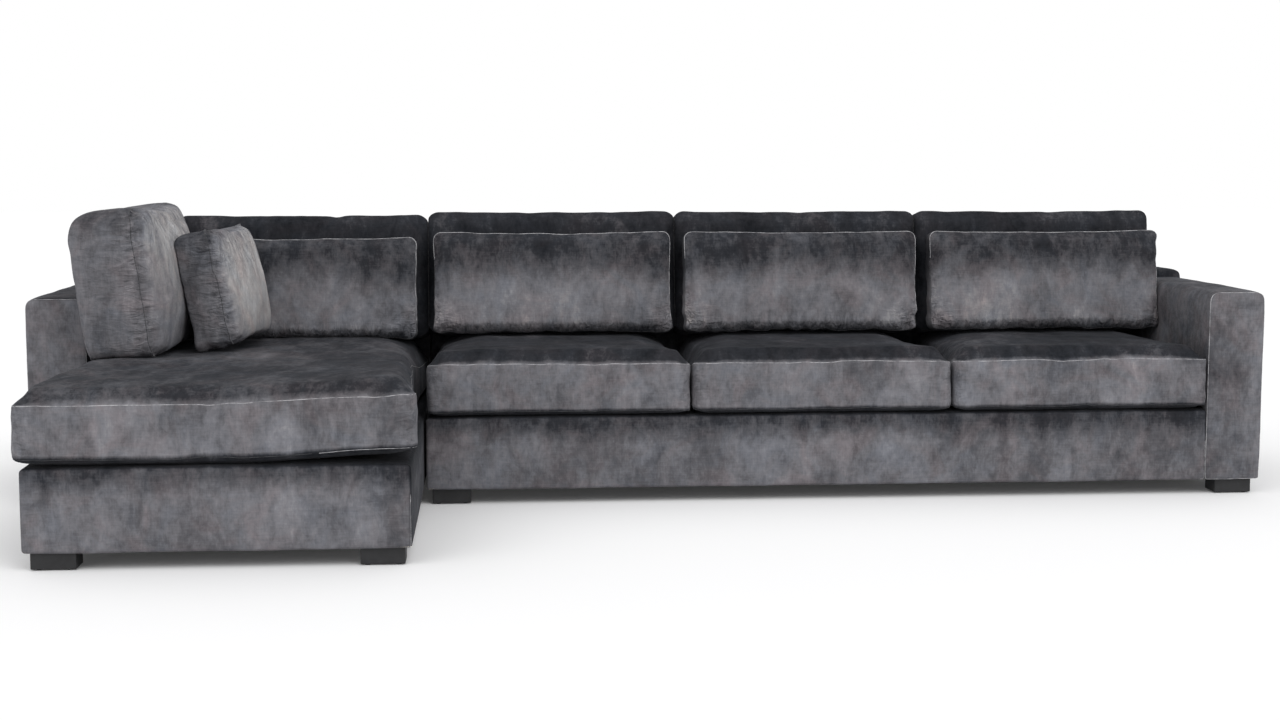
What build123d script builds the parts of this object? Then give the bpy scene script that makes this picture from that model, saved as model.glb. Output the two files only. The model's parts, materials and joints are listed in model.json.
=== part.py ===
"""Corner sofa: a chaise module on the left, a three-seat module hooked to it, and loose cushions.

Millimetres. +X runs to the right seen from the front, +Y to the back, +Z up.
The origin is on the floor, at the middle of the sofa's width and depth.
Each module is a timber seat box, an arm box and a back box, padded, covered and bolted on block feet.
Writes one STEP file for each sub-part into parts/.
"""

import math
import os
from dataclasses import dataclass, replace
from functools import lru_cache

from build123d import *

# Overall layout
SEAT_WIDTH = 800
SEAT_COUNT = 3
CHAISE_WIDTH = 980
ARM_WIDTH = 172
SOFA_DEPTH = 900
CHAISE_REACH = 845
BACK_THICKNESS = 180
FOOT_HEIGHT = 50
DECK_HEIGHT = 265
ARM_HEIGHT = 628
BACK_HEIGHT = 655
CUSHION_OVERHANG = 20

# Upholstery on the boxes
COVER = 2
PADDING = 12
DUST_SHEET = 1.5
DUST_SHEET_INSET = 15
DECK_PAD = 25
BOX_CORNER = 28
BASE_CORNER = 14
BOX_EDGE = 10

# Timber
RAIL = 25
MIDDLE_RAIL = 44
PANEL = 12
BOARD = 18
BLOCK_LENGTH = 110
BLOCK_WIDTH = 90
BLOCK_HEIGHT = 40
POST = 45

# Springs
WIRE_RADIUS = 2
SPRING_WIDTH = 54
SPRING_BEND = 14
SPRING_PITCH = 46
SPRINGS_PER_SEAT = 4
SPRINGS_PER_CHAISE = 5
CLIP_WIDTH = 20
CLIP_LENGTH = 14
CLIP_WALL = 1.5
SPRING_SEAT = 10

# Feet and fasteners
FOOT_WIDTH = 115
FOOT_LENGTH = 80
FOOT_INSET = 18
BOLT_RADIUS = 4
BOLT_HEAD_RADIUS = 9
BOLT_HEAD = 5
STUD_IN_FOOT = 28
STUD_IN_FRAME = 15
BOLT_END = 6
SCREW_RADIUS = 2.5
SCREW_LENGTH = 34
SCREW_HEAD_RADIUS = 4.5
SCREW_HEAD = 1.5

# Hooks between the modules
PLATE = 2
TONGUE = 2.6
TONGUE_WIDTH = 36
TONGUE_DEPTH = 42
HOOK_LENGTH = 76
HOOK_SHOULDER = 10
RECEIVER_HEIGHT = 60
RECEIVER_BOTTOM = 95
HOOK_FROM_EDGE = 140

# Clearances
FIT = 0.3
HOOK_RELIEF = 0.8
CUSHION_GAP = 3
BACK_PAD_GAP = 1

# Cushions
PAD_LEAN = 8
FULLNESS = 1.12
FACE_RUN_ON = 12
SEAT_EDGE = 165
SEAT_CROWN = 40
SEAT_CORNER = 30
BACK_PAD_HEIGHT = 405
BACK_PAD_EDGE = 175
BACK_PAD_CROWN = 24
BACK_PAD_CORNER = 28
LUMBAR_SIDE_ROOM = 17.5
LUMBAR_HEIGHT = 328
LUMBAR_EDGE = 70
LUMBAR_CROWN = 20
LUMBAR_CORNER = 30
LUMBAR_SPREAD = 8
SIDE_PAD_LENGTH = 600
SIDE_PAD_HEIGHT = 445
SIDE_PAD_EDGE = 165
SIDE_PAD_CROWN = 36
SIDE_PAD_REAR = 90
SIDE_PAD_CORNER = 60
SIDE_PAD_LEAN = 7
SIDE_PAD_TURN = 2
SIDE_PAD_FROM_BACK = 295
SIDE_LUMBAR_LENGTH = 420
SIDE_LUMBAR_HEIGHT = 352
SIDE_LUMBAR_EDGE = 104
SIDE_LUMBAR_CROWN = 48
SIDE_LUMBAR_REAR = 24
SIDE_LUMBAR_CORNER = 35
SIDE_LUMBAR_LEAN = 12
SIDE_LUMBAR_TURN = 8
SIDE_LUMBAR_FROM_BACK = 328
DROP = 40

# Places that follow from the sizes
LUMBAR_WIDTH = SEAT_WIDTH - 2 * LUMBAR_SIDE_ROOM
MODULE_GAP = 2 * PLATE + TONGUE + 2 * FIT + HOOK_RELIEF
WIDTH = 2 * ARM_WIDTH + CHAISE_WIDTH + MODULE_GAP + SEAT_COUNT * SEAT_WIDTH
DEPTH = CUSHION_OVERHANG + CHAISE_REACH + SOFA_DEPTH
X_LEFT = -WIDTH / 2
X_ARM_LEFT = X_LEFT + ARM_WIDTH
X_JOINT_LEFT = X_ARM_LEFT + CHAISE_WIDTH
X_JOINT_RIGHT = X_JOINT_LEFT + MODULE_GAP
X_ARM_RIGHT = X_JOINT_RIGHT + SEAT_COUNT * SEAT_WIDTH
X_RIGHT = X_ARM_RIGHT + ARM_WIDTH
Y_REAR = DEPTH / 2
Y_BACK = Y_REAR - BACK_THICKNESS
Y_SOFA = Y_REAR - SOFA_DEPTH
Y_CHAISE = Y_SOFA - CHAISE_REACH
LINING = COVER + PADDING
SPRING_SPACE = 2 * (WIRE_RADIUS + FIT + CLIP_WALL) + FIT
RAIL_TOP = DECK_HEIGHT - COVER - DECK_PAD - SPRING_SPACE


@dataclass(frozen=True)
class Span:
    """A box in space by its lowest and highest places along X, Y and Z."""

    x0: float
    x1: float
    y0: float
    y1: float
    z0: float
    z1: float

    def inset(self, by):
        """The same box with every face but the bottom moved in."""
        return Span(self.x0 + by, self.x1 - by, self.y0 + by, self.y1 - by, self.z0, self.z1 - by)

    def block(self):
        """The box as a solid."""
        centre = Pos((self.x0 + self.x1) / 2, (self.y0 + self.y1) / 2, (self.z0 + self.z1) / 2)
        return centre * Box(self.x1 - self.x0, self.y1 - self.y0, self.z1 - self.z0)


def prism(span, corner, edge):
    """A box with rounded top corners in front view, and softened front and rear edges."""
    face = Rectangle(span.x1 - span.x0, span.z1 - span.z0)
    face = fillet(face.vertices().group_by(Axis.Y)[-1], corner)
    face = Pos((span.x0 + span.x1) / 2, (span.z0 + span.z1) / 2) * face
    solid = extrude(Plane.XZ.offset(-span.y1) * face, span.y1 - span.y0)
    ends = solid.faces().filter_by(Axis.Y)
    rims = [e for end in ends for e in end.edges() if e.center().Z > span.z0 + edge / 2]
    return fillet(rims, edge)


def box_cover(span, corner):
    """The sewn cover of a box, one skin thick and open at the bottom."""
    hollow = replace(span.inset(COVER), z0=span.z0 - COVER)
    return prism(span, corner, BOX_EDGE) - prism(hollow, corner - COVER, BOX_EDGE - COVER)


def padding(span, corner):
    """Padding inside a box's cover, square within, where it lies on the timber."""
    outer = prism(span.inset(COVER), corner - COVER, BOX_EDGE - COVER)
    core = replace(span.inset(LINING), z0=span.z0 - COVER)
    return outer - core.block()


def bolt(x, y, z, axis, length):
    """A round-headed bolt whose head stands at the point and whose shank runs along the axis."""
    frame = Plane(origin=(x, y, z), z_dir=axis)
    shank = Cylinder(BOLT_RADIUS, length, align=(Align.CENTER, Align.CENTER, Align.MIN))
    head = Cylinder(BOLT_HEAD_RADIUS, BOLT_HEAD, align=(Align.CENTER, Align.CENTER, Align.MAX))
    return frame.location * (shank + head)


def drill(x, y, z, axis, length, radius):
    """The hole that a fastener needs, from the point along the axis."""
    frame = Plane(origin=(x, y, z), z_dir=axis)
    return frame.location * Cylinder(radius + FIT, length, align=(Align.CENTER, Align.CENTER, Align.MIN))


def cut(pieces, holes):
    """Every piece less the holes that reach it, as a list of single solids."""
    left = []
    for piece in pieces:
        box = piece.bounding_box()
        near = [h for h in holes if box.overlaps(h.bounding_box())]
        for hole in near:
            piece = piece - hole
        left += piece.solids()
    return left


def box_frame(core, posts_at):
    """Panels front and rear, rails top and bottom and posts between them, for a back box."""
    front = replace(core, y1=core.y0 + PANEL)
    rear = replace(core, y0=core.y1 - PANEL)
    inner = replace(core, y0=front.y1, y1=rear.y0)
    top = replace(inner, z0=core.z1 - BOARD)
    bottom = replace(inner, z1=core.z0 + BOARD)
    posts = [replace(inner, x0=x - POST / 2, x1=x + POST / 2, z0=bottom.z1, z1=top.z0) for x in posts_at]
    return [s.block() for s in (front, rear, top, bottom, *posts)]


def arm_frame(core):
    """Side panels with top, bottom, front and rear boards between them."""
    left = replace(core, x1=core.x0 + PANEL)
    right = replace(core, x0=core.x1 - PANEL)
    inner = replace(core, x0=left.x1, x1=right.x0)
    top = replace(inner, z0=core.z1 - BOARD)
    bottom = replace(inner, z1=core.z0 + BOARD)
    upright = replace(inner, z0=bottom.z1, z1=top.z0)
    front = replace(upright, y1=core.y0 + BOARD)
    rear = replace(upright, y0=core.y1 - BOARD)
    return [s.block() for s in (left, right, top, bottom, front, rear)]


def spring(length):
    """A serpentine wire in the XY plane: bars along X, the first at y = 0 and the last at y = length."""
    bars = max(2, round(length / SPRING_PITCH))
    pitch = length / bars
    half = SPRING_WIDTH / 2
    side = -half
    points = [(-half, 0)]
    for bar in range(bars + 1):
        side = -side
        points.append((side, bar * pitch))
        if bar < bars:
            points.append((side, (bar + 1) * pitch))
    path = FilletPolyline(*points, radius=min(SPRING_BEND, 0.45 * pitch))
    section = Plane(origin=path @ 0, z_dir=path % 0) * Circle(WIRE_RADIUS)
    return sweep(section, path=path)


def clip():
    """The moulded sleeve that holds an end bar of a spring on its rail; the wire's centre is its origin."""
    height = 2 * (WIRE_RADIUS + FIT + CLIP_WALL)
    bore = Cylinder(WIRE_RADIUS + FIT, CLIP_WIDTH, rotation=(0, 90, 0))
    return Box(CLIP_WIDTH, CLIP_LENGTH, height) - bore


def spring_field(x0, x1, y0, y1, count):
    """Springs side by side between two rails whose inner faces are at y0 and y1, with a clip at each end."""
    start = y0 - SPRING_SEAT
    end = y1 + SPRING_SEAT
    level = RAIL_TOP + WIRE_RADIUS + FIT + CLIP_WALL
    wire = spring(end - start)
    sleeve = clip()
    pitch = (x1 - x0) / count
    places = [x0 + (i + 0.5) * pitch for i in range(count)]
    wires = [Pos(x, start, level) * wire for x in places]
    clips = [Pos(x, y, level) * sleeve for x in places for y in (start, end)]
    return wires, clips


def foot(x, y):
    """A block foot under the dust sheet, centred on its stud."""
    top = FOOT_HEIGHT - DUST_SHEET
    return Pos(x, y, top / 2) * Box(FOOT_WIDTH, FOOT_LENGTH, top)


def stud(x, y):
    """The threaded stud that joins a foot to the frame above it."""
    low = FOOT_HEIGHT - STUD_IN_FOOT
    return Pos(x, y, low) * Cylinder(
        BOLT_RADIUS, STUD_IN_FOOT + STUD_IN_FRAME, align=(Align.CENTER, Align.CENTER, Align.MIN)
    )


def corner_block(x, y, side=1):
    """A block for a foot's stud, its front corner against the rail at x; side -1 runs to the left of x."""
    low, high = sorted((x, x + side * BLOCK_LENGTH))
    return Span(low, high, y, y + BLOCK_WIDTH, FOOT_HEIGHT, FOOT_HEIGHT + BLOCK_HEIGHT).block()


def dust_sheet(spans):
    """One thin sheet under a whole module, a little inside its outline."""
    outline = Sketch() + [
        Pos((s.x0 + s.x1) / 2, (s.y0 + s.y1) / 2) * Rectangle(s.x1 - s.x0, s.y1 - s.y0) for s in spans
    ]
    outline = offset(outline, -DUST_SHEET_INSET, kind=Kind.INTERSECTION)
    return extrude(Pos(0, 0, FOOT_HEIGHT - DUST_SHEET) * outline, DUST_SHEET)


def deck_pad(base):
    """The pad over the springs, up to the inside of the base's cover."""
    inner = base.inset(LINING)
    return replace(inner, z0=DECK_HEIGHT - COVER - DECK_PAD, z1=DECK_HEIGHT - COVER).block()


def base_padding(base):
    """Foam round the sides of a seat box, open above, where the deck pad lies."""
    return padding(base, BASE_CORNER) - replace(base.inset(LINING), z1=base.z1 + COVER).block()


def screws_for(x, y, zs, towards):
    """Countersunk screws through a hook plate whose outer face is at x, running towards the frame."""
    spread = TONGUE_WIDTH / 2 + PLATE + 3 * SCREW_RADIUS
    made, holes = [], []
    for dy in (-spread, spread):
        for z in zs:
            frame = Plane(origin=(x, y + dy, z), z_dir=(towards, 0, 0))
            low = (Align.CENTER, Align.CENTER, Align.MIN)
            shank = Cylinder(SCREW_RADIUS, SCREW_LENGTH, align=low)
            head = Cylinder(SCREW_HEAD_RADIUS, SCREW_HEAD, align=low)
            made.append(frame.location * (shank + head))
            head_hole = Cylinder(SCREW_HEAD_RADIUS + FIT, SCREW_HEAD, align=low)
            shank_hole = Cylinder(SCREW_RADIUS + FIT, SCREW_LENGTH, align=low)
            holes.append(frame.location * (head_hole + shank_hole))
    return made, holes


def receiver(y):
    """A keeper on the straight module's left side: a plate with a pocket that is open above and below."""
    x = X_JOINT_RIGHT
    top = RECEIVER_BOTTOM + RECEIVER_HEIGHT
    plate = Span(x - PLATE, x, y - HOOK_LENGTH / 2, y + HOOK_LENGTH / 2, RECEIVER_BOTTOM, top)
    mouth = TONGUE_WIDTH / 2 + FIT
    pocket_depth = TONGUE + 2 * FIT
    bottom, out = x - PLATE - pocket_depth, mouth + PLATE
    strap = Span(bottom - PLATE, x - PLATE, y - out, y + out, RECEIVER_BOTTOM, top - HOOK_SHOULDER)
    pocket = Span(bottom, x - PLATE, y - mouth, y + mouth, RECEIVER_BOTTOM - 1, top)
    return plate.block() + strap.block() - pocket.block()


def tongue(y):
    """The hook on the chaise module's right side: a plate, a shoulder and a tongue for the pocket."""
    x = X_JOINT_LEFT
    pocket_top = RECEIVER_BOTTOM + RECEIVER_HEIGHT - HOOK_SHOULDER
    low = pocket_top + FIT
    plate = Span(x, x + PLATE, y - HOOK_LENGTH / 2, y + HOOK_LENGTH / 2, low, low + RECEIVER_HEIGHT)
    out = X_JOINT_RIGHT - PLATE - FIT
    shoulder = Span(x, out, y - TONGUE_WIDTH / 2, y + TONGUE_WIDTH / 2, low, low + HOOK_SHOULDER)
    blade = replace(shoulder, x0=out - TONGUE, z0=pocket_top - TONGUE_DEPTH, z1=low)
    return plate.block() + shoulder.block() + blade.block()


def hook_screw_levels():
    """Heights of the screw rows in a receiver and in a tongue plate."""
    edge = 3 * SCREW_HEAD_RADIUS
    low = RECEIVER_BOTTOM + RECEIVER_HEIGHT - HOOK_SHOULDER + FIT
    receiver_rows = (RECEIVER_BOTTOM + edge, RECEIVER_BOTTOM + RECEIVER_HEIGHT - edge)
    tongue_rows = (low + HOOK_SHOULDER + edge / 2, low + RECEIVER_HEIGHT - edge)
    return receiver_rows, tongue_rows


@dataclass(frozen=True)
class Pad:
    """A boxed cushion: width along X, height along Y, an edge thickness and a crown on each face."""

    width: float
    height: float
    edge: float
    front: float
    rear: float
    corner: float

    def face(self, half, crown, side):
        """A crowned face in section, run on past the cushion's edges; side is 1 in front and -1 behind."""
        reach, level = half + FACE_RUN_ON, self.edge / 2
        if not crown:
            return Line((-side * reach, side * level), (side * reach, side * level))
        radius = (half**2 + crown**2) / (2 * crown)
        end = level + crown - radius + math.sqrt(radius**2 - reach**2)
        top = level + crown
        return ThreePointArc((-side * reach, side * end), (0, side * top), (side * reach, side * end))

    def profile(self, span, fullness):
        """Section across the cushion between its two faces."""
        front = self.face(span / 2, fullness * self.front, 1)
        rear = self.face(span / 2, fullness * self.rear, -1)
        return make_face([front, Line(front @ 1, rear @ 0), rear, Line(rear @ 1, front @ 0)])

    @lru_cache(maxsize=None)
    def solid(self, inset=0.0):
        """The cushion, or what it holds when every face is moved in by inset."""
        size = replace(
            self,
            width=self.width - 2 * inset,
            height=self.height - 2 * inset,
            edge=self.edge - 2 * inset,
            corner=self.corner - inset,
        )
        across = extrude(Plane.XZ * size.profile(size.width, 1), size.height, both=True)
        along = extrude(Plane.YZ * size.profile(size.height, FULLNESS), size.width, both=True)
        outline = RectangleRounded(size.width, size.height, size.corner)
        block = extrude(outline, size.edge + size.front + size.rear, both=True)
        return block & across & along

    @lru_cache(maxsize=None)
    def cover(self):
        """The sewn cover, one skin thick."""
        return self.solid() - self.solid(COVER)


def shared(one, other):
    """Whether two shapes have any room in common."""
    common = one & other
    return bool(common) and sum(s.volume for s in common.solids()) > 0


def settle(shape, place, rests):
    """The place moved until the shape is one clearance from the two things that it rests on.

    rests pairs each direction of travel with the shape that stops it.
    """
    rests = [(Vector(*direction).normalized(), stop) for direction, stop in rests]
    (first, _), (second, _) = rests
    for _ in range(30):
        looks = [(place * shape).distance_to_with_closest_points(stop) for _, stop in rests]
        touching = [way for (way, _), (gap, _, _) in zip(rests, looks) if gap < FIT / 10]
        for way in touching:
            place = Pos(*(way * -FIT)) * place
        if touching:
            continue
        p, q = (gap - FIT for gap, _, _ in looks)
        if max(abs(p), abs(q)) < FIT / 10:
            break
        normals = [(far - near).normalized() for _, near, far in looks]
        a, b, c, d = (way.dot(normal) for normal in normals for way in (first, second))
        scale = a * d - b * c
        place = Pos(*(first * ((p * d - q * b) / scale) + second * ((q * a - p * c) / scale))) * place
    for way, stop in rests:
        while shared(place * shape, stop):
            place = Pos(*(way * -FIT)) * place
    return place


def cushion(name, pad, place):
    """The cover and the filling of one cushion, as two nodes."""
    return {f"{name}_cover": [place * pad.cover()], f"{name}_filling": [place * pad.solid(COVER + FIT)]}


def base_spans(x0, x1, y0, arm_x, back_x):
    """The seat box, arm box and back box of a module."""
    base = Span(x0, x1, y0, Y_BACK, FOOT_HEIGHT, DECK_HEIGHT)
    arm = Span(*arm_x, Y_SOFA, Y_BACK, FOOT_HEIGHT, ARM_HEIGHT)
    back = Span(*back_x, Y_BACK, Y_REAR, FOOT_HEIGHT, BACK_HEIGHT)
    return base, arm, back


def long_rails(core):
    """Front and rear rails of a seat box, over its whole width."""
    front = replace(core, y1=core.y0 + RAIL)
    rear = replace(core, y0=core.y1 - RAIL)
    return [front.block(), rear.block()]


def chaise_module():
    """Every fixed sub-part of the chaise module."""
    arm_x, back_x = (X_LEFT, X_ARM_LEFT), (X_LEFT, X_JOINT_LEFT)
    base, arm, back = base_spans(X_ARM_LEFT, X_JOINT_LEFT, Y_CHAISE, arm_x, back_x)
    core = replace(base.inset(LINING), z1=RAIL_TOP)
    inner_x = (core.x0 + RAIL, core.x1 - RAIL)
    middle = Y_SOFA
    side_rails = [replace(core, x1=inner_x[0]).block(), replace(core, x0=inner_x[1]).block()]
    between = replace(core, x0=inner_x[0], x1=inner_x[1])
    cross = [
        replace(between, y1=core.y0 + RAIL),
        replace(between, y0=middle - MIDDLE_RAIL / 2, y1=middle + MIDDLE_RAIL / 2),
        replace(between, y0=core.y1 - RAIL),
    ]
    fields = [(cross[0].y1, cross[1].y0), (cross[1].y1, cross[2].y0)]
    wires, clips = [], []
    for y0, y1 in fields:
        more_wires, more_clips = spring_field(inner_x[0], inner_x[1], y0, y1, SPRINGS_PER_CHAISE)
        wires += more_wires
        clips += more_clips
    front_y = base.y0 + FOOT_INSET + FOOT_LENGTH / 2
    left_x = base.x0 + FOOT_INSET + FOOT_WIDTH / 2
    right_x = base.x1 - FOOT_INSET - FOOT_WIDTH / 2
    arm_foot = (arm.x0 + FOOT_INSET + FOOT_WIDTH / 2, arm.y0 + FOOT_INSET + FOOT_LENGTH / 2)
    middle_y = middle + MIDDLE_RAIL / 2 + BLOCK_WIDTH / 2
    rear_y = (back.y0 + back.y1) / 2
    rear_feet = [(back.x0 + FOOT_INSET + FOOT_WIDTH / 2, rear_y), (right_x, rear_y)]
    feet = [(left_x, front_y), (right_x, front_y), (right_x, middle_y), arm_foot, *rear_feet]
    blocks = [
        corner_block(inner_x[0], cross[0].y1),
        corner_block(inner_x[1], cross[0].y1, -1),
        corner_block(inner_x[1], cross[1].y1, -1),
    ]
    back_core = back.inset(LINING)
    posts = [back_core.x0 + POST / 2, (back_core.x0 + back_core.x1) / 2, back_core.x1 - POST / 2]
    bolts, holes = joining_bolts(core, arm, inner_x[0], -1, (core.x0, core.x1), 3)
    hook_ys = (Y_SOFA + HOOK_FROM_EDGE, Y_BACK - HOOK_FROM_EDGE)
    _, rows = hook_screw_levels()
    for y in hook_ys:
        screws, screw_holes = screws_for(X_JOINT_LEFT + PLATE, y, rows, -1)
        bolts += screws
        holes += screw_holes
    foam = [base_padding(base), padding(arm, BOX_CORNER), padding(back, BOX_CORNER)]
    nodes = {
        "chaise_side_rails": side_rails,
        "chaise_cross_rails": [s.block() for s in cross],
        "chaise_corner_blocks": blocks,
        "chaise_springs": wires,
        "chaise_spring_clips": clips,
        "chaise_deck_pad": [deck_pad(base)],
        "chaise_padding": foam,
        "chaise_base_cover": [box_cover(base, BASE_CORNER)],
        "chaise_dust_sheet": [dust_sheet((base, arm, back))],
        "chaise_back_frame": box_frame(back_core, posts),
        "chaise_back_cover": [box_cover(back, BOX_CORNER)],
        "left_arm_frame": arm_frame(arm.inset(LINING)),
        "left_arm_cover": [box_cover(arm, BOX_CORNER)],
        "hook_tongues": [tongue(y) for y in hook_ys],
    }
    return finish_module("chaise", nodes, feet, bolts, holes)


def sofa_module():
    """Every fixed sub-part of the straight module."""
    arm_x, back_x = (X_ARM_RIGHT, X_RIGHT), (X_JOINT_RIGHT, X_RIGHT)
    base, arm, back = base_spans(X_JOINT_RIGHT, X_ARM_RIGHT, Y_SOFA, arm_x, back_x)
    core = replace(base.inset(LINING), z1=RAIL_TOP)
    rib_xs = [X_JOINT_RIGHT + i * SEAT_WIDTH for i in range(1, SEAT_COUNT)]
    inner = replace(core, y0=core.y0 + RAIL, y1=core.y1 - RAIL)
    ends = [replace(inner, x1=core.x0 + RAIL), replace(inner, x0=core.x1 - RAIL)]
    ribs = [replace(inner, x0=x - RAIL / 2, x1=x + RAIL / 2) for x in rib_xs]
    wires, clips = [], []
    for seat in range(SEAT_COUNT):
        x0 = X_JOINT_RIGHT + seat * SEAT_WIDTH + RAIL
        x1 = X_JOINT_RIGHT + (seat + 1) * SEAT_WIDTH - RAIL
        more_wires, more_clips = spring_field(x0, x1, inner.y0, inner.y1, SPRINGS_PER_SEAT)
        wires += more_wires
        clips += more_clips
    front_y = base.y0 + FOOT_INSET + FOOT_LENGTH / 2
    left_x = base.x0 + FOOT_INSET + FOOT_WIDTH / 2
    arm_foot = (arm.x1 - FOOT_INSET - FOOT_WIDTH / 2, arm.y0 + FOOT_INSET + FOOT_LENGTH / 2)
    rear_y = (back.y0 + back.y1) / 2
    rear_feet = [(left_x, rear_y), (back.x1 - FOOT_INSET - FOOT_WIDTH / 2, rear_y)]
    centre_y = (base.y0 + base.y1) / 2
    centre_feet = [(x + RAIL / 2 + BLOCK_LENGTH / 2, centre_y) for x in rib_xs]
    feet = [(left_x, front_y), arm_foot, *rear_feet, *centre_feet]
    blocks = [corner_block(core.x0 + RAIL, inner.y0)]
    blocks += [corner_block(x + RAIL / 2, centre_y - BLOCK_WIDTH / 2) for x in rib_xs]
    back_core = back.inset(LINING)
    first, last = back_core.x0 + POST / 2, back_core.x1 - POST / 2
    posts = [first, *rib_xs, X_ARM_RIGHT, last]
    bolts, holes = joining_bolts(core, arm, core.x1 - RAIL, 1, (core.x0, core.x1), 4)
    hook_ys = (Y_SOFA + HOOK_FROM_EDGE, Y_BACK - HOOK_FROM_EDGE)
    rows, _ = hook_screw_levels()
    for y in hook_ys:
        screws, screw_holes = screws_for(X_JOINT_RIGHT - PLATE, y, rows, 1)
        bolts += screws
        holes += screw_holes
    foam = [base_padding(base), padding(arm, BOX_CORNER), padding(back, BOX_CORNER)]
    nodes = {
        "sofa_long_rails": long_rails(core),
        "sofa_cross_rails": [s.block() for s in (*ends, *ribs)],
        "sofa_corner_blocks": blocks,
        "sofa_springs": wires,
        "sofa_spring_clips": clips,
        "sofa_deck_pad": [deck_pad(base)],
        "sofa_padding": foam,
        "sofa_base_cover": [box_cover(base, BASE_CORNER)],
        "sofa_dust_sheet": [dust_sheet((base, arm, back))],
        "sofa_back_frame": box_frame(back_core, posts),
        "sofa_back_cover": [box_cover(back, BOX_CORNER)],
        "right_arm_frame": arm_frame(arm.inset(LINING)),
        "right_arm_cover": [box_cover(arm, BOX_CORNER)],
        "hook_receivers": [receiver(y) for y in hook_ys],
    }
    return finish_module("sofa", nodes, feet, bolts, holes)


def joining_bolts(core, arm, rail_face, towards, back_x, back_count):
    """Bolts from inside the seat box into the arm and the back, and the holes that they need."""
    reach = RAIL + 2 * LINING + PANEL + BOLT_END
    level = (FOOT_HEIGHT + RAIL_TOP) / 2
    bolts, holes = [], []
    for y in (arm.y0 + HOOK_FROM_EDGE, (arm.y0 + arm.y1) / 2, arm.y1 - HOOK_FROM_EDGE):
        bolts.append(bolt(rail_face, y, level, (towards, 0, 0), reach))
        holes.append(drill(rail_face, y, level, (towards, 0, 0), reach, BOLT_RADIUS))
    step = (back_x[1] - back_x[0]) / back_count
    for i in range(back_count):
        x = back_x[0] + (i + 0.5) * step
        bolts.append(bolt(x, core.y1 - RAIL, level, (0, 1, 0), reach))
        holes.append(drill(x, core.y1 - RAIL, level, (0, 1, 0), reach, BOLT_RADIUS))
    return bolts, holes


def finish_module(name, nodes, feet, bolts, holes):
    """Adds feet and fasteners to a module's nodes and drills every hole."""
    studs = [stud(x, y) for x, y in feet]
    low = FOOT_HEIGHT - STUD_IN_FOOT
    deep = STUD_IN_FOOT + STUD_IN_FRAME + FIT
    holes = holes + [drill(x, y, low, (0, 0, 1), deep, BOLT_RADIUS) for x, y in feet]
    nodes[f"{name}_feet"] = [foot(x, y) for x, y in feet]
    skip = ("springs", "spring_clips")
    drilled = {n: p if n.endswith(skip) else cut(p, holes) for n, p in nodes.items()}
    drilled[f"{name}_fasteners"] = studs + bolts
    return drilled


def seat_cushions():
    """Seat cushions on the deck, in order from the left, with the outer shape and place of each."""
    level = DECK_HEIGHT + FIT + SEAT_EDGE / 2
    rear = Y_BACK - CUSHION_GAP
    areas = [(X_ARM_LEFT, X_JOINT_LEFT, Y_CHAISE)]
    for i in range(SEAT_COUNT):
        areas.append((X_JOINT_RIGHT + i * SEAT_WIDTH, X_JOINT_RIGHT + (i + 1) * SEAT_WIDTH, Y_SOFA))
    made = []
    for x0, x1, y0 in areas:
        front = y0 - CUSHION_OVERHANG
        pad = Pad(x1 - x0 - 2 * CUSHION_GAP, rear - front, SEAT_EDGE, SEAT_CROWN, 0, SEAT_CORNER)
        made.append((pad, Pos((x0 + x1) / 2, (front + rear) / 2, level)))
    return made


def leaning(x, y, z, lean):
    """Stands a pad up facing the front, leaning back by an angle, with its centre at the point."""
    return Pos(x, y, z) * Rot(90 - lean, 0, 0)


def facing_right(x, y, z, lean, turn):
    """Stands a pad up facing +X, leaning to -X by an angle and turned to the front about Z."""
    return Pos(x, y, z) * Rot(0, 0, 90 - turn) * Rot(90 - lean, 0, 0)


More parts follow.
